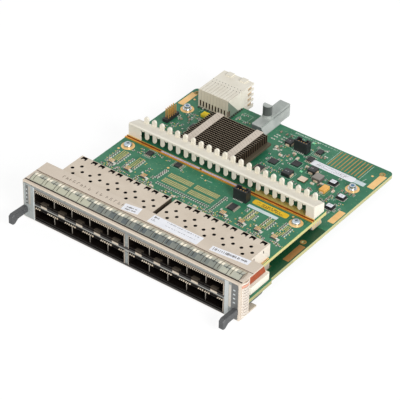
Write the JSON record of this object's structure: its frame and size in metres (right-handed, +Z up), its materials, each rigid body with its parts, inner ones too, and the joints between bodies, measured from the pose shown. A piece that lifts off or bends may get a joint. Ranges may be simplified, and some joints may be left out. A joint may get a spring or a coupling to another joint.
{
  "type": "interface module",
  "caption": "Plug-in interface card: wide front plate with two rows of transceiver ports, two stacked circuit boards, comb guide, heat sink and rear backplane connector.",
  "frame": {"origin": "centre of the bounding box's underside", "axes": "+X across the front plate to the right seen from the front, +Y from the front plate to the rear connector, +Z up from the main board to the port cages"},
  "size_m": [0.1702, 0.2064, 0.031],
  "materials": {
    "sheet_nickel": "nickel-plated sheet, satin",
    "overlay_film": "printed grey film",
    "finger_stock": "bright plated spring strip",
    "pull_plastic": "dark grey moulded",
    "screw_steel": "bright plated",
    "cage_metal": "satin nickel over copper alloy",
    "spring_metal": "plated contact springs",
    "black_plastic": "black moulded",
    "board_green": "green solder mask over laminate",
    "ivory_plastic": "ivory moulded",
    "copper_gold": "gold-coloured copper",
    "gasket_grey": "grey soft strip",
    "package_green": "chip package",
    "sink_black": "dark anodised",
    "band_pale": "pale satin",
    "die_cast": "grey die-cast",
    "flex_orange": "orange film",
    "support_dark": "dark grey-green moulded",
    "inductor_grey": "grey pressed core",
    "crystal_beige": "beige lid",
    "tantalum_orange": "orange moulded",
    "film_yellow": "yellow moulded",
    "ceramic_parts": "beige ceramic with bright ends",
    "network_gold": "striped resistor networks"
  },
  "bodies": {
    "root": {"board_standoffs": "screw_steel", "cage_cover_lower_left": "cage_metal", "cage_cover_lower_right": "cage_metal", "cage_cover_upper_left": "cage_metal", "cage_cover_upper_right": "cage_metal", "cage_dividers_lower_left": "cage_metal", "cage_dividers_lower_right": "cage_metal", "cage_dividers_upper_left": "cage_metal", "cage_dividers_upper_right": "cage_metal", "cage_floor_lower_left": "cage_metal", "cage_floor_lower_right": "cage_metal", "cage_floor_upper_left": "cage_metal", "cage_floor_upper_right": "cage_metal", "cage_springs_lower_left": "spring_metal", "cage_springs_lower_right": "spring_metal", "cage_springs_upper_left": "spring_metal", "cage_springs_upper_right": "spring_metal", "chips_small": "black_plastic", "chips_socketed": "black_plastic", "comb_guide": "ivory_plastic", "crystal": "crystal_beige", "edge_supports": "support_dark", "faceplate": "sheet_nickel", "faceplate_overlay": "overlay_film", "film_capacitor": "film_yellow", "flex_connector": "ivory_plastic", "flex_strip": "flex_orange", "gasket_bottom": "finger_stock", "gasket_sides": "finger_stock", "gasket_top": "finger_stock", "grey_inductor": "inductor_grey", "ground_strip": "copper_gold", "guide_block": "die_cast", "handle_left": "pull_plastic", "handle_right": "pull_plastic", "handle_screws": "screw_steel", "heat_sink": "sink_black", "heat_sink_bands": "band_pale", "main_board": "board_green", "main_screws": "screw_steel", "pin_header": "black_plastic", "pin_header_pins": "copper_gold", "port_connectors_lower_left": "black_plastic", "port_connectors_lower_right": "black_plastic", "port_connectors_upper_left": "black_plastic", "port_connectors_upper_right": "black_plastic", "power_inductors": "black_plastic", "processor": "package_green", "rear_contacts": "copper_gold", "rear_housing": "ivory_plastic", "rear_wafers": "ivory_plastic", "resistor_networks": "network_gold", "shroud_pins": "copper_gold", "shrouds": "black_plastic", "small_parts_main": "ceramic_parts", "small_parts_upper": "ceramic_parts", "strip_gasket": "gasket_grey", "tantalum": "tantalum_orange", "upper_board": "board_green", "upper_screws": "screw_steel"}
  },
  "joints": []
}
